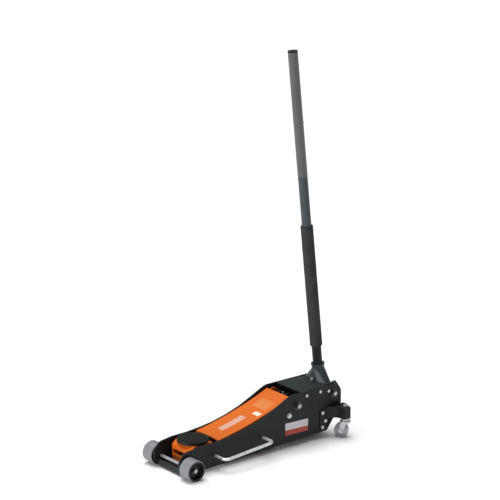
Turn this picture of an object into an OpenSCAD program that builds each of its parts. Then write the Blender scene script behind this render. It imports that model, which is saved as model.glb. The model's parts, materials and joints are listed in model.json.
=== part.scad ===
// Trolley car jack: a steel chassis on two fixed front wheels and two swivel casters, with a
// hydraulic lift arm, a parallel-motion saddle cradle, and a tall pump and release handle.
// Units are mm. +X points to the saddle end, +Z is up, and the origin is on the floor
// under the middle of the front axle.

/* [Chassis] */
// Half width over the outer faces of the side plates
plate_outer = 66; // [66:0.5:66.5]
// Thickness of each side plate
plate_thick = 6; // [5:0.5:6]
// Thickness of the folded cover sheet
cover_thick = 2.5; // [2:0.25:2.5]
// Diameter of the carry handle rod
carry_rod_d = 9; // [8:0.5:10]
// Reach of the carry handle from the middle of the jack
carry_reach = 121; // [110:1:124]

/* [Wheels] */
// Radius of the front wheels
front_wheel_r = 32.5; // [32:0.5:32.5]
// Tread width of the front wheels
front_wheel_width = 44; // [40:1:44]
// Radius of the rear caster wheels
caster_wheel_r = 22.5; // [22:0.5:22.5]
// Width of the rear caster wheels
caster_wheel_width = 22; // [18:1:22]

/* [Lift arm] */
// Half width over the lift arm flanges
arm_half = 55; // [52:0.5:55]
// Thickness of the arm flanges and of its top sheet
arm_thick = 4; // [3:0.5:4]
// Diameter of the saddle
saddle_d = 97; // [90:1:97]
// Height of the saddle pad above the floor when lowered
saddle_top = 89.5; // [89:0.5:90]

/* [Handle] */
// Outer diameter of the lower handle tube
lower_tube_d = 30; // [29:0.5:31]
// Outer diameter of the upper handle tube
upper_tube_d = 31; // [30:0.5:32]
// Outer diameter of the foam sleeve
sleeve_d = 39; // [36:1:42]
// Distance from the socket pivot to the top of the handle
handle_reach = 1088; // [1000:4:1100]

/* [Hidden] */
$fn = 96;
// Number of sides used for the shallow arc of the arm
arc_sides = 720;
// Radial gap of a running fit
run_gap = 0.05;
plate_inner = plate_outer - plate_thick;
// Pivot positions as [x, z]
front_axle_at = [0, front_wheel_r];
arm_pivot = [-428, 131];
link_anchor = [-394, 105];
link_offset = link_anchor - arm_pivot;
arm_tip = [-95, 50];
link_tip = arm_tip + link_offset;
socket_pivot = [-574, 140];
tie_rod_at = [-292, 58];
carry_root = [-108, 43];
// Cross shaft radii
axle_r = 5;
arm_shaft_r = 10;
shaft_thread_r = 7;
link_bolt_r = 6;
socket_bolt_r = 8;
pivot_thread_r = 5;
tip_pin_r = 7;
bolt_r = 3;
// Arm crank and ram
crank_r = 60;
crank_rest = 235;
crank_pin_r = 8;
crank_pin_at = arm_pivot + crank_r * [cos(crank_rest), sin(crank_rest)];
ram_z = 76;
ram_rod_r = 9;
ram_bore_r = 13;
ram_outer_r = 18;
// Link rods and cradle cheeks, as distances from the middle plane
link_in = 36;
link_out = 41;
cheek_in = 42;
cheek_out = 46;
saddle_x = -73;
stem_r = 10;
cradle_top = 80;
// Pump rollers and plungers
roller_arm = 30;
roller_rest = -30;
roller_r = 9;
roller_pin_r = 5;
roller_at = socket_pivot + roller_arm * [sin(roller_rest), -cos(roller_rest)];
plunger_y = 28;
plunger_z = 112;
plunger_r = 7;
plunger_head_r = 9;
plunger_gap = 0.65;
block_rear = -541;
block_front = -485;
// Release valve, a spindle that points down and forward from the socket pivot
valve_tilt = 135;
valve_r = 4;
// Front of the socket's base, and the screw in it
socket_front = -546;
screw_z = 175;
screw_r = 4;
// Handle, which leans forward from the vertical
lean = 6.2;
socket_low = 24;
tube_low = 50;
collar_low = 52;
collar_top = 84.3;
tube_joint = 699;
sleeve_low = 144;
sleeve_high = 540;
button_at = 865;
// Casters
caster_at = [-595, 100];
caster_yaw = -49;
caster_trail = 12;
caster_stem_r = 6;
caster_axle_r = 4;
bracket_low = 64;
bracket_high = 100;
bracket_sheet = 4;
flange_thick = 3;

// Side plate outline as [x, z], from the rear, along the floor, round the nose, back over the top
plate_outline = [
    [-606, 136.5], [-606, 105], [-594, 82], [-578, 60], [-562, 40], [-548, 22],
    [-490, 21], [-379, 17], [-90, 9], [6, 9], [20, 17], [27, 30], [27, 48], [22, 58],
    [14, 68], [4, 76], [-4, 78], [-40, 83], [-100, 84], [-150, 88], [-200, 95],
    [-250, 106.5], [-300, 122], [-350, 143.5], [-385, 160], [-400, 166], [-412, 168.5],
    [-574, 168.5]
];
plate_ear = [-574, 136.5];
plate_ear_r = 32;
// Bolts that hold the cover and the caster brackets, as [x, z]
cover_bolts = [[-464, 155], [-519, 156], [-553, 151]];
bracket_bolt_points = [[-527, 85], [-538, 57], [-526, 38]];
// Arc of the arm's top sheet: centre as [x, z], and radius to its upper face
arm_arc = [43.7, 1249.6];
arm_arc_r = 1178.1;
arm_rear = -405;
arm_front = -129;

// A cylinder along Y between two distances from the middle plane
module along_y(at, y0, y1, r, sides = $fn) {
    translate([at.x, y0, at.y]) rotate([-90, 0, 0]) cylinder(h = y1 - y0, r = r, $fn = sides);
}

// A cylinder along X
module along_x(x0, x1, y, z, r, sides = $fn) {
    translate([x0, y, z]) rotate([0, 90, 0]) cylinder(h = x1 - x0, r = r, $fn = sides);
}

// A cylinder along Z
module along_z(at, z0, z1, r, sides = $fn) {
    translate([at.x, at.y, z0]) cylinder(h = z1 - z0, r = r, $fn = sides);
}

// A plate cut to an outline in the XZ plane, between two distances from the middle plane
module plate_y(y0, y1) {
    translate([0, y1, 0]) rotate([90, 0, 0]) linear_extrude(y1 - y0) children();
}

// The same piece on the left side and mirrored on the right side
module both_sides() {
    children();
    mirror([0, 1, 0]) children();
}

// Places children in the handle's frame: origin at the socket pivot, Z up the handle
module on_handle() {
    translate([socket_pivot.x, 0, socket_pivot.y]) rotate([0, lean, 0]) children();
}

// Places children in the release valve's frame: Z runs from the socket pivot into the block
module on_valve() {
    translate([socket_pivot.x, 0, socket_pivot.y]) rotate([0, valve_tilt, 0]) children();
}

// Places children in the left caster's frame: X along the trail, Y along the wheel axle
module on_caster() {
    translate([caster_at.x, caster_at.y, 0]) rotate([0, 0, caster_yaw]) children();
}

// A flat link between two points, with round ends of two radii and a straight bar between them
module link_shape(a, b, end_a, end_b, half) {
    span = b - a;
    turn = atan2(span.y, span.x);
    translate(a) circle(r = end_a);
    translate(b) circle(r = end_b);
    translate(a) rotate(turn) translate([0, -half]) square([norm(span), 2 * half]);
}

// A hex nut or bolt head with a chamfered washer under it, on the outside of a side plate
module plate_nut(at, washer_r, nut_r, nut_high, hole_r) {
    washer_high = 2.5;
    difference() {
        union() {
            along_y(at, plate_outer, plate_outer + washer_high, washer_r);
            along_y(at, plate_outer + washer_high, plate_outer + washer_high + nut_high, nut_r, 6);
        }
        along_y(at, plate_outer - 1, plate_outer + washer_high + nut_high + 1, hole_r);
    }
}

// Chassis

module side_plate() {
    color("#2a2c2f") difference() {
        plate_y(plate_inner, plate_outer) {
            polygon(plate_outline);
            translate(plate_ear) circle(r = plate_ear_r);
        }
        along_y(front_axle_at, plate_inner - 1, plate_outer + 1, axle_r + run_gap);
        along_y(arm_pivot, plate_inner - 1, plate_outer + 1, arm_shaft_r + run_gap);
        along_y(link_anchor, plate_inner - 1, plate_outer + 1, link_bolt_r + run_gap);
        along_y(socket_pivot, plate_inner - 1, plate_outer + 1, socket_bolt_r + run_gap);
        for (at = cover_bolts) along_y(at, plate_inner - 1, plate_outer + 1, bolt_r + run_gap);
        for (at = bracket_bolt_points)
            along_y(at, plate_inner - 1, plate_outer + 1, bolt_r + run_gap);
    }
}

module side_plate_left() { side_plate(); }
module side_plate_right() { mirror([0, 1, 0]) side_plate(); }

// Folded cover between the side plates, over the hydraulic unit
module cover_plate() {
    cover_front = -447.5;
    skirt_front = -453;
    rear_middle = -544.5;
    rear_side = -550.5;
    skirt_rear = -563.5;
    skirt_low = 143;
    top = 168;
    color("#3b3e41") union() {
        translate([0, 0, top - cover_thick]) linear_extrude(cover_thick) polygon([
            [cover_front, -plate_inner], [cover_front, plate_inner], [rear_side, plate_inner],
            [rear_side, 38], [rear_middle, 22], [rear_middle, -22], [rear_side, -38],
            [rear_side, -plate_inner]
        ]);
        both_sides() difference() {
            plate_y(plate_inner - cover_thick, plate_inner) polygon([
                [skirt_front, top - 1], [-540, top - 1], [skirt_rear, top - 8],
                [skirt_rear, skirt_low], [skirt_front, skirt_low]
            ]);
            for (at = cover_bolts)
                along_y(at, plate_inner - 4, plate_inner + 1, bolt_r + run_gap);
        }
    }
}

// Angle strip that joins the noses of the side plates under the front axle
module front_cross_plate() {
    color("#222426") union() {
        translate([9, -plate_inner, 6]) cube([4, 2 * plate_inner, 19]);
        translate([-25, -plate_inner, 12]) cube([35, 2 * plate_inner, 3]);
    }
}

module frame_tie_rod() {
    color("#2a2c2f") along_y(tie_rod_at, -plate_inner, plate_inner, 6);
}

module front_axle() {
    end = front_hub_face() + 9;
    color("#c9ccd0") along_y(front_axle_at, -end, end, axle_r);
}

// Distance from the middle plane to the inner face of a front wheel
function front_wheel_in() = plate_outer + 5;
// Distance from the middle plane to the floor of the hub recess
function front_hub_face() = front_wheel_in() + front_wheel_width - 13;

// Spacer washers inside the front wheels and hex nuts in the hub recesses
module axle_nuts() {
    color("#c9ccd0") both_sides() {
        difference() {
            union() {
                along_y(front_axle_at, plate_outer, front_wheel_in() - 0.5, 12);
                along_y(front_axle_at, front_hub_face() + 0.5, front_hub_face() + 2, 10);
                along_y(front_axle_at, front_hub_face() + 2, front_hub_face() + 7.5, 8.5, 6);
            }
            along_y(front_axle_at, plate_outer - 1, front_hub_face() + 8, axle_r + run_gap);
        }
    }
}

// Shaft with a shoulder at each side plate and threaded ends
module lift_arm_shaft() {
    end = plate_outer + 12;
    color("#b9bcc0") union() {
        along_y(arm_pivot, -plate_outer, plate_outer, arm_shaft_r);
        along_y(arm_pivot, -end, end, shaft_thread_r);
    }
}

module shaft_nuts() {
    color("#c9ccd0") both_sides()
        plate_nut(arm_pivot, 13, 10.5, 7.5, shaft_thread_r + run_gap);
}

// Bolts that carry the rear eyes of the link rods
module link_anchor_bolts() {
    color("#b9bcc0") both_sides() {
        along_y(link_anchor, link_in - 1, plate_outer, link_bolt_r);
        along_y(link_anchor, plate_outer, plate_outer + 2, 8.5);
        along_y(link_anchor, plate_outer + 2, plate_outer + 6, 7, 6);
    }
}

module frame_bolts() {
    color("#c9ccd0") both_sides() for (at = cover_bolts) {
        along_y(at, plate_inner - cover_thick, plate_outer, bolt_r);
        along_y(at, plate_outer, plate_outer + 3.5, 5.2, 6);
    }
}

// Manifold with plunger bores, a collar round the ram cylinder and a slanted valve bore
module hydraulic_block() {
    block_half = 42;
    block_low = 98;
    block_high = 128;
    bore_end = block_front - 4;
    color("#55585c") difference() {
        union() {
            translate([block_rear, -block_half, block_low])
                cube([block_front - block_rear, 2 * block_half, block_high - block_low]);
            translate([block_rear, -23, 54]) cube([36, 46, block_low - 54]);
        }
        along_x(block_rear - 1, block_rear + 40, 0, ram_z, ram_outer_r + run_gap);
        for (side = [-1, 1])
            along_x(block_rear - 1, bore_end, side * plunger_y, plunger_z, plunger_r + run_gap);
        on_valve() cylinder(h = 57, r = valve_r + run_gap);
    }
}

module ram_cylinder() {
    rear = -584;
    front = -493;
    color("#4b4e52") difference() {
        along_x(rear, front, 0, ram_z, ram_outer_r);
        along_x(rear + 7, front + 1, 0, ram_z, ram_bore_r);
    }
}

module gland_nut() {
    color("#8f9296") difference() {
        along_x(-493, -481, 0, ram_z, 17, 6);
        along_x(-494, -480, 0, ram_z, ram_rod_r + run_gap);
    }
}

// Oil tank under the hydraulic block
module oil_reservoir() {
    rear = -562;
    front = -472;
    color("#3f4246") difference() {
        union() {
            translate([rear, -30, 24]) cube([front - rear, 60, 26]);
            translate([rear, -22, 50]) cube([60, 44, 4]);
        }
        both_sides() translate([rear - 1, 22, 42]) cube([front - rear + 2, 9, 9]);
    }
}

module filler_plug() {
    color("#b9bcc0") union() {
        along_z([-503, 20], 128, 131, 8);
        along_z([-503, 20], 131, 136, 6.5, 6);
    }
}

module spring_anchor_pins() {
    color("#8f9296") both_sides() along_y([-532, crank_pin_at.y], 23, 39, 5);
}

// Folded bracket bolted to the side plate, with a bush for the caster stem
module caster_bracket() {
    corner = [[-543, plate_outer], [-573, 88], [-579, 118], [-601, 118], [-615, 82],
        [-613, plate_outer]];
    inner = [[-546.7, plate_outer - 1], [-575.7, 86.3], [-581.5, 115], [-598.9, 115],
        [-611.9, 81.6], [-609.9, plate_outer - 1]];
    color("#33363a") difference() {
        union() {
            difference() {
                translate([0, 0, bracket_low]) linear_extrude(bracket_high - bracket_low)
                    polygon(corner);
                translate([0, 0, bracket_low - 1])
                    linear_extrude(bracket_high - bracket_low - bracket_sheet + 1)
                        polygon(inner);
            }
            plate_y(plate_outer, plate_outer + flange_thick) polygon([
                [-518, 94], [-519, 28], [-538, 26], [-552, 38], [-561, 50], [-576, 70],
                [-594, 94], [-541, 98]
            ]);
            along_z(caster_at, bracket_low, bracket_high, 11);
        }
        along_z(caster_at, bracket_low - 1, bracket_high + 1, caster_stem_r + run_gap);
        for (at = bracket_bolt_points)
            along_y(at, plate_outer - 1, plate_outer + flange_thick + 1, bolt_r + run_gap);
    }
}

module caster_bracket_left() { caster_bracket(); }
module caster_bracket_right() { mirror([0, 1, 0]) caster_bracket(); }

module bracket_bolts() {
    color("#c9ccd0") both_sides() for (at = bracket_bolt_points) {
        along_y(at, plate_inner, plate_outer + flange_thick, bolt_r);
        along_y(at, plate_outer + flange_thick, plate_outer + flange_thick + 4, 6, 6);
        along_y(at, plate_inner - 5, plate_inner, 6, 6);
    }
}

// U-shaped carry handle of round rod, welded to the side plate
module carry_handle() {
    bend = 15;
    rod_r = carry_rod_d / 2;
    span = 184.6;
    leg_end = carry_reach - rod_r - bend;
    color("#c9ccd0") translate([carry_root.x, 0, carry_root.y]) rotate([0, 4.66, 0]) {
        for (x = [0, -span]) {
            translate([x, plate_outer, 0]) rotate([-90, 0, 0])
                cylinder(h = leg_end - plate_outer, r = rod_r);
        }
        translate([-bend, leg_end, 0]) rotate_extrude(angle = 90)
            translate([bend, 0]) circle(r = rod_r);
        translate([bend - span, leg_end, 0]) rotate([0, 0, 90]) rotate_extrude(angle = 90)
            translate([bend, 0]) circle(r = rod_r);
        translate([bend - span, leg_end + bend, 0]) rotate([0, 90, 0])
            cylinder(h = span - 2 * bend, r = rod_r);
    }
}

module carry_handle_left() { carry_handle(); }
module carry_handle_right() { mirror([0, 1, 0]) carry_handle(); }

// Blank two-colour information plates
module label_plates() {
    color("#e8e4e0") both_sides() plate_y(plate_outer, plate_outer + 0.8) polygon([
        [-379.5, 43], [-379.5, 82], [-470.5, 79], [-470.5, 40]
    ]);
}

// Shouldered pins on which the handle socket tilts
module socket_pivot_bolts() {
    color("#c9ccd0") both_sides() {
        along_y(socket_pivot, 47, plate_outer, socket_bolt_r);
        along_y(socket_pivot, plate_outer, plate_outer + 11, pivot_thread_r);
    }
}

module socket_pivot_nuts() {
    color("#2a2c2f") both_sides()
        plate_nut(socket_pivot, 12.5, 10.5, 6.5, pivot_thread_r + run_gap);
}

// Lift arm

// The band between the arm's upper arc and an arc a given depth below it
module arm_band(depth) {
    intersection() {
        difference() {
            translate(arm_arc) circle(r = arm_arc_r + depth, $fn = arc_sides);
            translate(arm_arc) circle(r = arm_arc_r, $fn = arc_sides);
        }
        translate([arm_rear, 0]) square([arm_front - arm_rear, 200]);
    }
}

// Pressed channel: a top sheet on an arc and two deep side flanges
module lift_arm() {
    flange_low = [[-95, 36], [-385, 114], [-404, 131], [-404, 158], [-396, 154], [-360, 141],
        [-300, 120], [-250, 104.5], [-200, 93], [-150, 84.5], [-129, 80.5], [-81, 52]];
    color("#e8651f") difference() {
        union() {
            plate_y(-arm_half, arm_half) arm_band(arm_thick);
            both_sides() plate_y(arm_half - arm_thick, arm_half) {
                arm_band(14);
                polygon(flange_low);
                translate(arm_pivot) circle(r = 26);
                translate(arm_tip) circle(r = 14);
            }
        }
        both_sides() {
            along_y(arm_pivot, arm_half - 8, arm_half + 1, arm_shaft_r + 6 + run_gap);
            along_y(arm_tip, arm_half - 8, arm_half + 1, tip_pin_r + run_gap);
        }
    }
}

module arm_pivot_tube() {
    color("#3a3c3f") difference() {
        along_y(arm_pivot, -arm_half, arm_half, arm_shaft_r + 6);
        along_y(arm_pivot, -arm_half - 1, arm_half + 1, arm_shaft_r + run_gap);
    }
}

// Two crank lugs on the pivot tube, pushed by the ram
module arm_crank() {
    color("#3a3c3f") both_sides() difference() {
        plate_y(12, 20) link_shape(arm_pivot, crank_pin_at, 25, 14, 14);
        along_y(arm_pivot, 11, 21, arm_shaft_r + 6 + run_gap);
        along_y(crank_pin_at, 11, 21, crank_pin_r + run_gap);
    }
}

module crank_pin() {
    color("#b9bcc0") along_y(crank_pin_at, -37, 37, crank_pin_r);
}

module arm_tip_pin() {
    color("#b9bcc0") union() {
        along_y(arm_tip, -arm_half - 1, arm_half + 1, tip_pin_r);
        both_sides() along_y(arm_tip, arm_half + 0.2, arm_half + 2.5, tip_pin_r + 2.5);
    }
}

// Grease fitting on top of the pivot tube
module grease_nipple() {
    color("#c9ccd0") union() {
        along_z([-427, -4], 147.05, 151, 4.5, 6);
        along_z([-427, -4], 151, 157, 2.8);
    }
}

module link_rod() {
    color("#33363a") difference() {
        plate_y(link_in, link_out) link_shape(link_anchor, link_tip, 12, 11, 8);
        along_y(link_anchor, link_in - 1, link_out + 1, link_bolt_r + run_gap);
        along_y(link_tip, link_in - 1, link_out + 1, link_bolt_r + run_gap);
    }
}

module link_rod_left() { link_rod(); }
module link_rod_right() { mirror([0, 1, 0]) link_rod(); }

// Cradle that the arm and the link rods keep level: two cheeks, a top sheet that slopes down to a
// front lip, and a lower cross strip
module saddle_cradle() {
    rear = -112;
    bend = -45;
    front = -29;
    lip_top = 67;
    lip_low = 54;
    sheet = 4;
    cheek = [[rear, cradle_top - 1], [rear, 60], [-106, 42], [-66, 14], [-54, 13], [-38, 16],
        [front - 1, 24], [front - 1, lip_top - 2], [bend, cradle_top - 1]];
    top_sheet = [[rear, cradle_top], [rear, cradle_top - sheet], [bend - 1.5, cradle_top - sheet],
        [front - sheet, lip_top - 2], [front - sheet, lip_low], [front, lip_low],
        [front, lip_top], [bend, cradle_top]];
    cross_strip = [[-40, 15], [-36, 15], [front, 40], [front - sheet, 40]];
    color("#e8651f") difference() {
        union() {
            plate_y(-cheek_out, cheek_out) {
                polygon(top_sheet);
                polygon(cross_strip);
            }
            both_sides() plate_y(cheek_in, cheek_out) {
                polygon(cheek);
                translate(arm_tip) circle(r = 14);
            }
        }
        along_z([saddle_x, 0], 60, cradle_top + 1, stem_r + run_gap);
        both_sides() {
            along_y(arm_tip, cheek_in - 1, cheek_out + 1, tip_pin_r + run_gap);
            along_y(link_tip, cheek_in - 1, cheek_out + 1, link_bolt_r + run_gap);
        }
    }
}

// Pins that join the link rods to the cradle cheeks
module cradle_pins() {
    color("#b9bcc0") both_sides() {
        along_y(link_tip, link_in - 1, cheek_out, link_bolt_r);
        along_y(link_tip, cheek_out, cheek_out + 2.5, 9);
    }
}

// Cast saddle cup with a stem that turns in the cradle
module saddle() {
    r = saddle_d / 2;
    color("#26282b") union() {
        difference() {
            union() {
                along_z([saddle_x, 0], cradle_top + 0.4, saddle_top - 1, r);
                along_z([saddle_x, 0], 60, cradle_top + 1, stem_r);
            }
            along_z([saddle_x, 0], saddle_top - 6, saddle_top, r - 6);
        }
        along_z([saddle_x, 0], 66, 71, stem_r + 5);
    }
}

module saddle_pad() {
    color("#1c1d1f") along_z([saddle_x, 0], saddle_top - 6, saddle_top, saddle_d / 2 - 6.5);
}

// Hydraulic ram

module ram_rod() {
    color("#c9ccd0") union() {
        along_x(-563, -479, 0, ram_z, ram_rod_r);
        along_x(-575, -563, 0, ram_z, ram_bore_r - run_gap);
    }
}

// Crosshead with an upright slot for the crank pin
module ram_crosshead() {
    slot_gap = 1.4;
    slot_r = crank_pin_r + slot_gap;
    slot_ends = [[crank_pin_at.x, 71], [crank_pin_at.x, 82]];
    color("#4b4e52") difference() {
        translate([-479, -10, 54]) cube([34, 20, 45]);
        plate_y(-11, 11) link_shape(slot_ends[0], slot_ends[1], slot_r, slot_r, slot_r);
    }
}

// Close-wound return springs with an eye at each end
module return_springs() {
    coil_r = 5.5;
    wire_r = 1.5;
    rear = -532;
    start = rear + 9;
    turns = 14;
    coil_length = crank_pin_at.x - 10.6 - start;
    pitch = coil_length / turns;
    color("#8f9296") both_sides() translate([0, 31, crank_pin_at.y]) union() {
        translate([start, 0, 0]) rotate([0, 90, 0]) rotate_extrude() {
            square([coil_r - 0.8, coil_length]);
            for (i = [0 : turns - 1]) translate([coil_r - 0.8, (i + 0.5) * pitch])
                circle(r = wire_r);
        }
        translate([rear, 0, 0]) rotate([90, 0, 0]) rotate_extrude()
            translate([8.2, 0]) circle(r = wire_r);
        translate([crank_pin_at.x, 0, 0]) rotate([90, 0, 0]) rotate_extrude()
            translate([10.6, 0]) circle(r = wire_r);
    }
}

// Handle socket and pump

// Yoke that holds the handle, tilts on the pivot bolts and carries the pump rollers
module handle_socket() {
    cheek_low = 49;
    cheek_high = 56;
    base_z = 164;
    base_high = 6;
    base = [[socket_front, -22], [socket_front, 22], [-556, 48], [-578, 48], [-584, 20], [-584, -20],
        [-578, -48], [-556, -48]];
    bore_r = lower_tube_d / 2 + run_gap;
    color("#373c3e") difference() {
        union() {
            on_handle() translate([0, 0, collar_low]) cylinder(h = collar_top - collar_low, r = 20);
            on_handle() translate([0, 0, collar_top - 5]) cylinder(h = 5, r = 21.5);
            translate([-578, -cheek_high, base_z]) cube([22, 2 * cheek_high, base_high]);
            hull() {
                on_handle() translate([0, 0, 65]) cylinder(h = 3, r = 20, $fn = 32);
                translate([0, 0, base_z]) linear_extrude(base_high) polygon(base);
            }
            both_sides() plate_y(cheek_low, cheek_high) {
                link_shape(socket_pivot, roller_at, 22, 11, 11);
                polygon([[-592, 174], [-604, 158], [-596, 132], [-554, 132], [-552, base_z + 2]]);
            }
        }
        on_handle() cylinder(h = 200, r = bore_r);
        along_y(socket_pivot, -60, 60, socket_bolt_r + run_gap);
        both_sides() along_y(roller_at, cheek_low - 1, cheek_high + 1, roller_pin_r + run_gap);
        along_x(socket_front - 12, socket_front + 20, 0, screw_z, screw_r + run_gap);
    }
}

module roller_pins() {
    color("#b9bcc0") both_sides() along_y(roller_at, 15, 56, roller_pin_r);
}

// Screw in the front of the socket
module socket_screw() {
    color("#d4d7da") union() {
        along_x(socket_front - 9, socket_front + 1, 0, screw_z, screw_r);
        along_x(socket_front + 1, socket_front + 7, 0, screw_z, screw_r + 2);
    }
}

// Two hardened rollers that press the pump plungers
module pump_rollers() {
    color("#8f9296") both_sides() difference() {
        along_y(roller_at, 17, 47.5, roller_r);
        along_y(roller_at, 16, 49, roller_pin_r + run_gap);
    }
}

module pump_plungers() {
    face = roller_at.x + roller_r + plunger_gap;
    color("#b9bcc0") for (side = [-1, 1]) {
        along_x(face, face + 5, side * plunger_y, plunger_z, plunger_head_r);
        along_x(face + 5, -522, side * plunger_y, plunger_z, plunger_r);
    }
}

// Handle

module lower_tube() {
    color("#3c4146") on_handle() difference() {
        union() {
            translate([0, 0, tube_low]) cylinder(h = tube_joint - tube_low, r = lower_tube_d / 2);
            translate([0, 0, tube_joint - 1]) cylinder(h = 70, r = 12.4);
        }
        translate([0, 0, tube_low - 1]) cylinder(h = tube_joint + 100, r = 11);
    }
}

module upper_tube() {
    color("#6c6d6f") on_handle() difference() {
        translate([0, 0, tube_joint])
            cylinder(h = handle_reach - tube_joint, r = upper_tube_d / 2);
        translate([0, 0, tube_joint - 1]) cylinder(h = handle_reach, r = 12.5);
        translate([0, 0, button_at]) rotate([0, -90, 0]) cylinder(h = 30, r = 3.6);
    }
}

module foam_sleeve() {
    color("#2f3133") on_handle() difference() {
        translate([0, 0, sleeve_low]) cylinder(h = sleeve_high - sleeve_low, r = sleeve_d / 2);
        translate([0, 0, sleeve_low - 1])
            cylinder(h = sleeve_high - sleeve_low + 2, r = lower_tube_d / 2);
    }
}

module snap_button() {
    color("#1c1d1f") on_handle() translate([0, 0, button_at]) rotate([0, -90, 0])
        translate([0, 0, 9]) cylinder(h = upper_tube_d / 2 - 6, r = 3.5);
}

module handle_cap() {
    color("#1c1d1f") on_handle() union() {
        translate([0, 0, handle_reach]) cylinder(h = 3, r = upper_tube_d / 2);
        translate([0, 0, handle_reach - 12]) cylinder(h = 13, r = 12.4);
    }
}

// Rod inside the handle that turns the release valve through a ball joint
module release_drive_rod() {
    color("#8f9296") on_handle() union() {
        sphere(r = 6);
        cylinder(h = 80, r = 3.6);
        translate([0, 0, 60]) cylinder(h = 12, r = 10.9);
    }
}

// Release valve spindle with a forked head round the ball
module release_valve() {
    color("#b9bcc0") on_valve() union() {
        difference() {
            translate([0, 0, 1]) cylinder(h = 15, r = 9);
            translate([0, 0, 0]) cylinder(h = 12, r = 7);
            translate([-10, -5, 0]) cube([20, 10, 11]);
        }
        translate([0, 0, 15]) cylinder(h = 40, r = valve_r);
    }
}

// Wheels

module front_wheel() {
    inner = front_wheel_in();
    outer = inner + front_wheel_width;
    edge = 2;
    color("#8b8d8f") difference() {
        translate([0, inner, front_wheel_r]) rotate([-90, 0, 0]) rotate_extrude() polygon([
            [axle_r + run_gap, 0], [front_wheel_r - edge, 0], [front_wheel_r, edge],
            [front_wheel_r, front_wheel_width - edge],
            [front_wheel_r - edge, front_wheel_width], [25, front_wheel_width],
            [24, front_wheel_width - 13], [axle_r + run_gap, front_wheel_width - 13]
        ]);
    }
}

module front_wheel_left() { front_wheel(); }
module front_wheel_right() { mirror([0, 1, 0]) front_wheel(); }

// Zinc fork with a crown, two legs and a stem
module caster_fork() {
    leg_in = caster_wheel_width / 2 + 1.5;
    leg_out = leg_in + 3;
    crown_low = caster_wheel_r * 2 + 3;
    color("#b4b7ba") on_caster() difference() {
        union() {
            translate([0, 0, crown_low]) cylinder(h = 6, r = 17);
            cylinder_stem(crown_low);
            for (side = [-1, 1]) translate([0, side * (leg_in + 1.5) + 1.5, 0])
                rotate([90, 0, 0]) linear_extrude(leg_out - leg_in) {
                    polygon([[-8, crown_low + 4], [12, crown_low + 4],
                        [caster_trail + 7, caster_wheel_r], [caster_trail - 7, caster_wheel_r]]);
                    translate([caster_trail, caster_wheel_r]) circle(r = 7);
                }
        }
        translate([caster_trail, -leg_out - 1, caster_wheel_r]) rotate([-90, 0, 0])
            cylinder(h = 2 * leg_out + 2, r = caster_axle_r + run_gap);
    }
}

// Caster stem, from the crown up through the bracket bush
module cylinder_stem(crown_low) {
    translate([0, 0, crown_low]) cylinder(h = bracket_low - 1 - crown_low, r = 12);
    translate([0, 0, crown_low]) cylinder(h = bracket_high + 6 - crown_low, r = caster_stem_r);
}

module caster_fork_left() { caster_fork(); }
module caster_fork_right() { mirror([0, 1, 0]) caster_fork(); }

module caster_wheel() {
    half = caster_wheel_width / 2;
    color("#97999b") on_caster() translate([caster_trail, -half, caster_wheel_r])
        rotate([-90, 0, 0]) rotate_extrude() polygon([
            [caster_axle_r + run_gap, 0], [9, 0], [9, 2], [15, 2], [16, 0],
            [caster_wheel_r - 1.5, 0], [caster_wheel_r, 1.5],
            [caster_wheel_r, caster_wheel_width - 1.5],
            [caster_wheel_r - 1.5, caster_wheel_width], [16, caster_wheel_width],
            [15, caster_wheel_width - 2], [9, caster_wheel_width - 2],
            [9, caster_wheel_width], [caster_axle_r + run_gap, caster_wheel_width]
        ]);
}

module caster_wheel_left() { caster_wheel(); }
module caster_wheel_right() { mirror([0, 1, 0]) caster_wheel(); }

// Axle bolt through the fork legs, and the nut on the stem
module caster_hardware() {
    leg_out = caster_wheel_width / 2 + 4.5;
    color("#c9ccd0") on_caster() {
        translate([caster_trail, 0, caster_wheel_r]) rotate([-90, 0, 0]) {
            translate([0, 0, -leg_out]) cylinder(h = 2 * leg_out, r = caster_axle_r);
            translate([0, 0, leg_out]) cylinder(h = 3.5, r = 6.5, $fn = 6);
            translate([0, 0, -leg_out - 3.5]) cylinder(h = 3.5, r = 6.5, $fn = 6);
        }
        difference() {
            translate([0, 0, bracket_high + 0.4]) cylinder(h = 4, r = 8, $fn = 6);
            translate([0, 0, bracket_high - 1]) cylinder(h = 8, r = caster_stem_r);
        }
    }
}

module caster_hardware_left() { caster_hardware(); }
module caster_hardware_right() { mirror([0, 1, 0]) caster_hardware(); }

side_plate_left();
side_plate_right();
cover_plate();
front_cross_plate();
frame_tie_rod();
front_axle();
axle_nuts();
lift_arm_shaft();
shaft_nuts();
link_anchor_bolts();
frame_bolts();
hydraulic_block();
ram_cylinder();
gland_nut();
oil_reservoir();
filler_plug();
spring_anchor_pins();
caster_bracket_left();
caster_bracket_right();
bracket_bolts();
carry_handle_left();
carry_handle_right();
label_plates();
socket_pivot_bolts();
socket_pivot_nuts();
lift_arm();
arm_pivot_tube();
arm_crank();
crank_pin();
arm_tip_pin();
grease_nipple();
link_rod_left();
link_rod_right();
saddle_cradle();
cradle_pins();
saddle();
saddle_pad();
ram_rod();
ram_crosshead();
return_springs();
handle_socket();
roller_pins();
socket_screw();
pump_rollers();
pump_plungers();
lower_tube();
upper_tube();
foam_sleeve();
snap_button();
handle_cap();
release_drive_rod();
release_valve();
front_wheel_left();
front_wheel_right();
caster_fork_left();
caster_fork_right();
caster_wheel_left();
caster_wheel_right();
caster_hardware_left();
caster_hardware_right();
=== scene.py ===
"""Trolley car jack: materials, soft parts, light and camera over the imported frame."""
import json
import math

import bpy
from mathutils import Matrix, Vector


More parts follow.
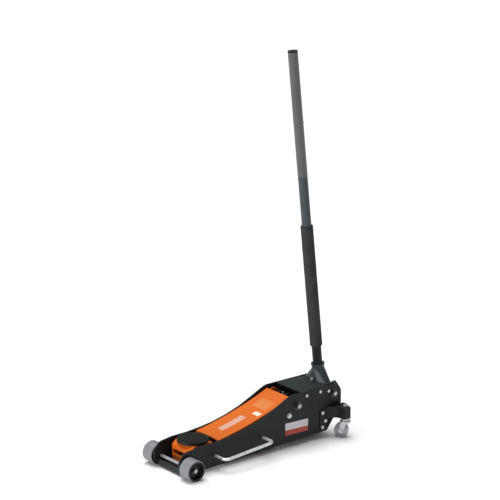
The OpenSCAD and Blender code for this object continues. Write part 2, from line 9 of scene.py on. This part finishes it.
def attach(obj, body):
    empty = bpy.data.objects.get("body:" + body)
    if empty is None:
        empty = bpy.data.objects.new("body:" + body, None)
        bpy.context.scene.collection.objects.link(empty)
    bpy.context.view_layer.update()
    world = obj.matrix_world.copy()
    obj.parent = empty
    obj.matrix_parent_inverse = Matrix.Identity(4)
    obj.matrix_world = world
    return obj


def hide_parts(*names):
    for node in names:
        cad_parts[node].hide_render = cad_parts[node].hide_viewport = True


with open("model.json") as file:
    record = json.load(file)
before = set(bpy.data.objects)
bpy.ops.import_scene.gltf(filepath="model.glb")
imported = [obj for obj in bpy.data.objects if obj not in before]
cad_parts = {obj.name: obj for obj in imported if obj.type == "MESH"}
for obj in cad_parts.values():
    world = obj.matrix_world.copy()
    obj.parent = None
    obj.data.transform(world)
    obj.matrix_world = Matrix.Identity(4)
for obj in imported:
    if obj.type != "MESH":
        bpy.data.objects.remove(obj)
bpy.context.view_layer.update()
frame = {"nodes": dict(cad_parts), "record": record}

NODES = frame["nodes"]

# Camera, fitted once to the object's main points
CAMERA_AT = (3.5947, 4.8575, 2.3822)
CAMERA_TARGET = (-0.3164, -0.0285, 0.6273)
LENS_MM = 154.9
SENSOR_MM = 36.0

# Handle axis, from the socket pivot up the tube
PIVOT = Vector((-0.574, 0.0, 0.140))
LEAN = math.radians(6.2)
SLEEVE_LOW = 0.144
SLEEVE_HIGH = 0.540
SLEEVE_OUTER = 0.0195
SLEEVE_INNER = 0.01502
SLEEVE_ROLL = 0.003
SLEEVE_ROWS = 48
ROLL_STEPS = 7
ROLL_STEP_DEG = 15
# The sleeve's wall is this much thinner in its hollows, with this many radians of waves along it
WALL_DIP = 0.0002
WALL_WAVES = 19.0

# Heights between which the lower tube's colour goes from a dark painted shade to its grey paint,
# inside the sleeve
TUBE_PAINTED_SHADE_TO = 0.30
TUBE_GREY_FROM = 0.36

# Front wheels: height of the axle, and the radii where the dark face (dark paint with a painted
# shade of its deep recess) ends and the tread begins
AXLE_HEIGHT = 0.0325
FACE_RADIUS = 0.0296
TREAD_RADIUS = 0.0304

# Side plates' printed labels: the line between the two colours, after a turn about Y
LABEL_TURN = math.radians(1.9)
LABEL_RED_TO = 0.0715
LABEL_PALE_FROM = 0.0723

# Blank patches printed on the arm: X range, Y range and colour
ARM_PATCHES = (
    (-0.268, -0.176, -0.012, 0.014, (0.62, 0.36, 0.27)),
    (-0.306, -0.291, 0.013, 0.042, (0.86, 0.76, 0.58)),
    (-0.363, -0.322, -0.026, 0.036, (0.64, 0.20, 0.045)),
)

# Noise scales, in waves per metre of the surface
CLOUDS = 9.0
METAL_CLOUDS = 60.0
SHEEN = 25.0
POCKS = 80.0
TREAD_RIBS = 60.0
PRINT_CLOUDS = 90.0
CAST_MOTTLE = 120.0
DULL_PATCHES = 140.0
CAST_GRAIN = 500.0
SCRATCHES = 600.0
PAINT_RIPPLE = 900.0
FOAM_CLOUDS = 30.0
FOAM_SHEEN = 300.0
FOAM_PORES = 1500.0

# The tread's pattern runs in rings, so it varies along Y only
RIB_STRETCH = (0.02, 9.0, 0.02)

# Stage: half the floor's width, its colour, the light from all round, and the lamps as
# name, strength, angle across in degrees and direction
FLOOR_HALF = 30.0
FLOOR_COLOUR = (0.93, 0.93, 0.93, 1.0)
SURROUND_STRENGTH = 0.25
LAMPS = (
    ("sky_light", 2.8, 45, (0.0, 0.20, -1.0)),
    ("front_fill", 2.0, 30, (-1.0, 0.1, -0.15)),
)


def make_camera():
    """The camera looks at its target with no roll, shift or depth of field."""
    data = bpy.data.cameras.new("camera")
    data.lens = LENS_MM
    data.sensor_width = SENSOR_MM
    data.clip_end = 50.0
    data.dof.use_dof = False
    camera = bpy.data.objects.new("camera", data)
    bpy.context.scene.collection.objects.link(camera)
    aim = Vector(CAMERA_TARGET) - Vector(CAMERA_AT)
    camera.location = CAMERA_AT
    camera.rotation_euler = aim.to_track_quat("-Z", "Y").to_euler()
    bpy.context.scene.camera = camera


make_camera()


class Look:
    """A small builder for one procedural material."""

    def __init__(self, name):
        self.material = bpy.data.materials.new(name)
        self.material.use_nodes = True
        self.tree = self.material.node_tree
        self.shader = self.tree.nodes["Principled BSDF"]
        self.place = self.tree.nodes.new("ShaderNodeTexCoord").outputs["Object"]
        self.normal = None

    def set(self, **values):
        for key, value in values.items():
            self.shader.inputs[key.replace("_", " ")].default_value = value
        return self

    def link(self, a, b):
        self.tree.links.new(a, b)

    def noise(self, scale, detail=4.0, rough=0.55, stretch=None):
        """A noise pattern; stretch scales the object axes before it."""
        node = self.tree.nodes.new("ShaderNodeTexNoise")
        node.inputs["Scale"].default_value = scale
        node.inputs["Detail"].default_value = detail
        node.inputs["Roughness"].default_value = rough
        self.link(self.mapped(stretch), node.inputs["Vector"])
        return node.outputs["Fac"]

    def mapped(self, stretch):
        if stretch is None:
            return self.place
        node = self.tree.nodes.new("ShaderNodeMapping")
        node.inputs["Scale"].default_value = stretch
        self.link(self.place, node.inputs["Vector"])
        return node.outputs["Vector"]

    def ramp(self, source, stops):
        """Colours along a 0 to 1 pattern, as (position, colour) pairs."""
        node = self.tree.nodes.new("ShaderNodeValToRGB")
        band = node.color_ramp
        while len(band.elements) < len(stops):
            band.elements.new(0.5)
        for element, (at, colour) in zip(band.elements, stops):
            element.position = at
            element.color = (*colour, 1.0)
        self.link(source, node.inputs["Fac"])
        return node.outputs["Color"]

    def range(self, source, low, high):
        """Maps a 0 to 1 pattern onto low to high."""
        node = self.tree.nodes.new("ShaderNodeMapRange")
        node.inputs["To Min"].default_value = low
        node.inputs["To Max"].default_value = high
        self.link(source, node.inputs["Value"])
        return node.outputs["Result"]

    def coordinate(self, axis, turn=0.0):
        """One object coordinate in metres, after a turn about Y."""
        node = self.tree.nodes.new("ShaderNodeSeparateXYZ")
        self.link(self.moved((0.0, 0.0, 0.0), turn=turn), node.inputs["Vector"])
        return node.outputs[axis]

    def moved(self, offset, scale=(1.0, 1.0, 1.0), turn=0.0):
        node = self.tree.nodes.new("ShaderNodeMapping")
        node.inputs["Location"].default_value = offset
        node.inputs["Scale"].default_value = scale
        node.inputs["Rotation"].default_value = (0.0, turn, 0.0)
        self.link(self.place, node.inputs["Vector"])
        return node.outputs["Vector"]

    def radius(self, height):
        """Distance from a line along Y at a height above the floor, at X = 0."""
        node = self.tree.nodes.new("ShaderNodeVectorMath")
        node.operation = "LENGTH"
        self.link(self.moved((0.0, 0.0, -height), (1.0, 0.0, 1.0)), node.inputs[0])
        return node.outputs["Value"]

    def step(self, source, low, high, start=0.0, end=1.0):
        """A clamped ramp from start to end while the source goes from low to high."""
        node = self.tree.nodes.new("ShaderNodeMapRange")
        node.inputs["From Min"].default_value = low
        node.inputs["From Max"].default_value = high
        node.inputs["To Min"].default_value = start
        node.inputs["To Max"].default_value = end
        self.link(source, node.inputs["Value"])
        return node.outputs["Result"]

    def both(self, first, second):
        """The product of two masks."""
        node = self.tree.nodes.new("ShaderNodeMath")
        node.operation = "MULTIPLY"
        self.link(first, node.inputs[0])
        self.link(second, node.inputs[1])
        return node.outputs["Value"]

    def between(self, axis, low, high, soft=0.0006):
        """A mask that is one between two coordinates."""
        place = self.coordinate(axis)
        return self.both(self.step(place, low - soft, low + soft),
                         self.step(place, high - soft, high + soft, 1.0, 0.0))

    def mixed(self, mask, below, above):
        """One colour where the mask is zero and another where it is one."""
        node = self.tree.nodes.new("ShaderNodeMix")
        node.data_type = "RGBA"
        self.link(mask, node.inputs["Factor"])
        self.link(below, node.inputs[6])
        self.link(above, node.inputs[7])
        return node.outputs[2]

    def bump(self, height, strength, distance=0.0005):
        node = self.tree.nodes.new("ShaderNodeBump")
        node.inputs["Strength"].default_value = strength
        node.inputs["Distance"].default_value = distance
        self.link(height, node.inputs["Height"])
        if self.normal is not None:
            self.link(self.normal, node.inputs["Normal"])
        self.normal = node.outputs["Normal"]
        return self

    def round_edges(self, radius):
        """Softens hard corners in the shading, as a real folded or cast edge has."""
        node = self.tree.nodes.new("ShaderNodeBevel")
        node.samples = 4
        node.inputs["Radius"].default_value = radius
        self.normal = node.outputs["Normal"]
        return self

    def colour(self, output):
        self.link(output, self.shader.inputs["Base Color"])
        return self

    def rough(self, output):
        self.link(output, self.shader.inputs["Roughness"])
        return self

    def done(self):
        if self.normal is not None:
            self.link(self.normal, self.shader.inputs["Normal"])
        return self.material


def tint(colour, factor):
    return tuple(min(1.0, part * factor) for part in colour)


def blotches(look, colour, spread, scale=CLOUDS):
    """The colour with faint darker and lighter clouds."""
    return look.ramp(look.noise(scale, 5.0), [
        (0.3, tint(colour, 1 - spread)), (0.7, tint(colour, 1 + spread))])


def paint_surface(look, rough, edge, grain):
    """Uneven sheen, softened corners and the fine ripple of sprayed paint."""
    look.rough(look.range(look.noise(SHEEN, 3.0), rough - 0.07, rough + 0.07))
    look.round_edges(edge)
    look.bump(look.noise(PAINT_RIPPLE, 2.0), grain)
    return look.done()


def paint(name, colour, rough=0.4, spread=0.2, edge=0.0012, gloss=0.2, grain=0.12):
    """Plain sprayed paint."""
    look = Look(name).set(Metallic=0.0, Specular_IOR_Level=gloss)
    look.colour(blotches(look, colour, spread))
    return paint_surface(look, rough, edge, grain)


def arm_paint(name):
    """Orange paint with blank pale patches printed on the arm's top sheet."""
    look = Look(name).set(Metallic=0.0, Specular_IOR_Level=0.22)
    shade = blotches(look, (0.62, 0.125, 0.008), 0.05)
    for x_low, x_high, y_low, y_high, colour in ARM_PATCHES:
        patch = look.both(look.between("X", x_low, x_high), look.between("Y", y_low, y_high))
        shade = look.mixed(patch, shade, blotches(look, colour, 0.08, PRINT_CLOUDS))
    look.colour(shade)
    return paint_surface(look, 0.42, 0.0012, 0.1)


def label_paint(name):
    """A blank printed plate: pale above and red below a line parallel to its edge."""
    look = Look(name).set(Metallic=0.0, Specular_IOR_Level=0.3)
    red = look.step(look.coordinate("Z", LABEL_TURN), LABEL_RED_TO, LABEL_PALE_FROM, 1.0, 0.0)
    look.colour(look.mixed(red, blotches(look, (0.66, 0.64, 0.68), 0.05),
                           blotches(look, (0.42, 0.06, 0.035), 0.08)))
    return paint_surface(look, 0.4, 0.0003, 0.05)


def tube_coat(name):
    """Grey tube paint, with a painted shade making it dark below the sleeve."""
    look = Look(name).set(Metallic=0.0, Specular_IOR_Level=0.14)
    # Painted shade: the tube is coloured dark below the sleeve, where shade falls
    low = look.step(look.coordinate("Z"), TUBE_PAINTED_SHADE_TO, TUBE_GREY_FROM, 1.0, 0.0)
    look.colour(look.mixed(low, blotches(look, (0.066, 0.075, 0.086), 0.1),
                           blotches(look, (0.012, 0.013, 0.013), 0.1)))
    return paint_surface(look, 0.4, 0.0008, 0.1)


def metal(name, colour, rough=0.3, spread=0.12, metallic=1.0, grain=0.1, edge=0.0006):
    """Plated or machined metal with fine scratches and dull patches."""
    look = Look(name).set(Metallic=metallic)
    look.colour(blotches(look, colour, spread, METAL_CLOUDS))
    look.rough(look.range(look.noise(DULL_PATCHES, 4.0), rough - 0.08, rough + 0.1))
    look.round_edges(edge)
    look.bump(look.noise(SCRATCHES, 3.0), grain)
    return look.done()


def casting(name, colour, rough=0.55, metallic=0.4):
    """Cast surface: coarse grain, mottled colour."""
    look = Look(name).set(Metallic=metallic, Specular_IOR_Level=0.25)
    look.colour(blotches(look, colour, 0.22, CAST_MOTTLE))
    look.rough(look.range(look.noise(POCKS, 4.0), rough - 0.1, rough + 0.12))
    look.round_edges(0.001)
    look.bump(look.noise(CAST_GRAIN, 6.0, 0.7), 0.5)
    return look.done()


def wheel_casting(name):
    """Cast wheel with fine turned ribs on the tread and an outer face made dark by its paint and by
    a painted shade of its deep recess.
    """
    look = Look(name).set(Metallic=0.2, Specular_IOR_Level=0.3)
    face = look.step(look.radius(AXLE_HEIGHT), FACE_RADIUS, TREAD_RADIUS, 1.0, 0.0)
    ribs = look.noise(TREAD_RIBS, 1.0, stretch=RIB_STRETCH)
    tread = look.ramp(ribs, [(0.35, (0.15, 0.155, 0.165)), (0.65, (0.30, 0.305, 0.32))])
    # The face's dark colour is partly dark paint and partly a painted shade of the deep recess
    face_paint_and_recess_shade = blotches(look, (0.016, 0.017, 0.019), 0.25, CAST_MOTTLE)
    look.colour(look.mixed(face, tread, face_paint_and_recess_shade))
    look.rough(look.range(look.noise(POCKS, 4.0), 0.4, 0.6))
    look.round_edges(0.0015)
    look.bump(ribs, 0.6, 0.001)
    return look.done()


def foam(name, colour):
    """Closed-cell foam: fine pores and soft mottling."""
    look = Look(name).set(Metallic=0.0, Specular_IOR_Level=0.12)
    look.colour(blotches(look, colour, 0.2, FOAM_CLOUDS))
    look.rough(look.range(look.noise(FOAM_SHEEN, 3.0), 0.8, 0.95))
    look.bump(look.noise(FOAM_PORES, 4.0, 0.7), 0.5, 0.0004)
    return look.done()


MATERIALS = {
    "black_paint": paint("black_paint", (0.0130, 0.0142, 0.0152), 0.42, gloss=0.2),
    "cover_paint": paint("cover_paint", (0.026, 0.031, 0.031), 0.5, gloss=0.15),
    "orange_paint": arm_paint("orange_paint"),
    "socket_paint": paint("socket_paint", (0.030, 0.036, 0.042), 0.40, gloss=0.3),
    "tube_paint": tube_coat("tube_paint"),
    "tube_grey": paint("tube_grey", (0.074, 0.076, 0.079), 0.32, 0.08, gloss=0.65),
    "zinc": metal("zinc", (0.54, 0.55, 0.57), 0.34, 0.12, 0.75),
    "dark_zinc": metal("dark_zinc", (0.11, 0.11, 0.115), 0.34),
    "bright_rod": metal("bright_rod", (0.80, 0.80, 0.81), 0.28, 0.06, 0.6, 0.02),
    "machined_steel": metal("machined_steel", (0.36, 0.37, 0.39), 0.38),
    "cast_block": casting("cast_block", (0.03, 0.031, 0.033), 0.5, 0.1),
    "wheel_cast": wheel_casting("wheel_cast"),
    "caster_steel": metal("caster_steel", (0.32, 0.33, 0.34), 0.36, 0.3),
    "foam": foam("foam", (0.040, 0.040, 0.040)),
    "rubber_pad": foam("rubber_pad", (0.016, 0.016, 0.015)),
    "black_plastic": paint("black_plastic", (0.010, 0.010, 0.010), 0.5, 0.1),
    "label_face": label_paint("label_face"),
}

# Each CAD part takes the finish that its slot in the record names
for entry in frame["record"]["subparts"]:
    slots = NODES[entry["node"]].data.materials
    finish = MATERIALS[entry["material_slot"]]
    if len(slots):
        for index in range(len(slots)):
            slots[index] = finish
    else:
        slots.append(finish)


def add_mesh(name, points, faces, material, smooth=True):
    mesh = bpy.data.meshes.new(name)
    mesh.from_pydata(points, [], faces)
    mesh.update()
    for face in mesh.polygons:
        face.use_smooth = smooth
    mesh.materials.append(material)
    obj = bpy.data.objects.new(name, mesh)
    bpy.context.scene.collection.objects.link(obj)
    return obj


def lathe(name, profile, frame_matrix, material, sides=64):
    """A closed ring of revolution: profile is a loop of (radius, height) points."""
    points, faces = [], []
    count = len(profile)
    for side in range(sides):
        angle = 2 * math.pi * side / sides
        for radius, height in profile:
            points.append(frame_matrix @ Vector(
                (radius * math.cos(angle), radius * math.sin(angle), height)))
    for side in range(sides):
        here, there = side * count, (side + 1) % sides * count
        for i in range(count):
            j = (i + 1) % count
            faces.append((here + i, there + i, there + j, here + j))
    return add_mesh(name, points, faces, material)


HANDLE = Matrix.Translation(PIVOT) @ Matrix.Rotation(LEAN, 4, "Y")


def make_sleeve():
    """Foam sleeve with rolled ends and a barely uneven wall."""
    core = SLEEVE_OUTER - SLEEVE_ROLL
    low, high = SLEEVE_LOW + SLEEVE_ROLL, SLEEVE_HIGH - SLEEVE_ROLL
    turns = [math.radians(ROLL_STEP_DEG * step) for step in range(ROLL_STEPS)]
    profile = [(SLEEVE_INNER, SLEEVE_LOW)]
    for turn in turns:
        profile.append((core + SLEEVE_ROLL * math.sin(turn), low - SLEEVE_ROLL * math.cos(turn)))
    for row in range(1, SLEEVE_ROWS):
        share = row / SLEEVE_ROWS
        dip = WALL_DIP * math.sin(share * WALL_WAVES) ** 2
        profile.append((SLEEVE_OUTER - dip, low + share * (high - low)))
    for turn in reversed(turns):
        profile.append((core + SLEEVE_ROLL * math.sin(turn), high + SLEEVE_ROLL * math.cos(turn)))
    profile.append((SLEEVE_INNER, SLEEVE_HIGH))
    sleeve = lathe("foam_sleeve_skin", profile, HANDLE, MATERIALS["foam"])
    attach(sleeve, "handle")
    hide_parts("foam_sleeve")


make_sleeve()


def make_stage():
    """A plain pale floor and soft white light from all round and from above."""
    look = Look("floor").set(Roughness=0.9, Specular_IOR_Level=0.1, Base_Color=FLOOR_COLOUR)
    corners = [(FLOOR_HALF * x, FLOOR_HALF * y, 0) for x, y in ((-1, -1), (1, -1), (1, 1), (-1, 1))]
    floor = add_mesh("floor", corners, [(0, 1, 2, 3)], look.done(), False)
    world = bpy.data.worlds.new("studio")
    world.use_nodes = True
    back = world.node_tree.nodes["Background"]
    back.inputs["Color"].default_value = (1.0, 1.0, 1.0, 1.0)
    back.inputs["Strength"].default_value = SURROUND_STRENGTH
    bpy.context.scene.world = world
    for name, energy, spread, direction in LAMPS:
        data = bpy.data.lights.new(name, "SUN")
        data.energy = energy
        data.angle = math.radians(spread)
        lamp = bpy.data.objects.new(name, data)
        lamp.rotation_euler = Vector(direction).to_track_quat("-Z", "Y").to_euler()
        bpy.context.scene.collection.objects.link(lamp)


make_stage()
bpy.context.scene.view_settings.view_transform = "Standard"
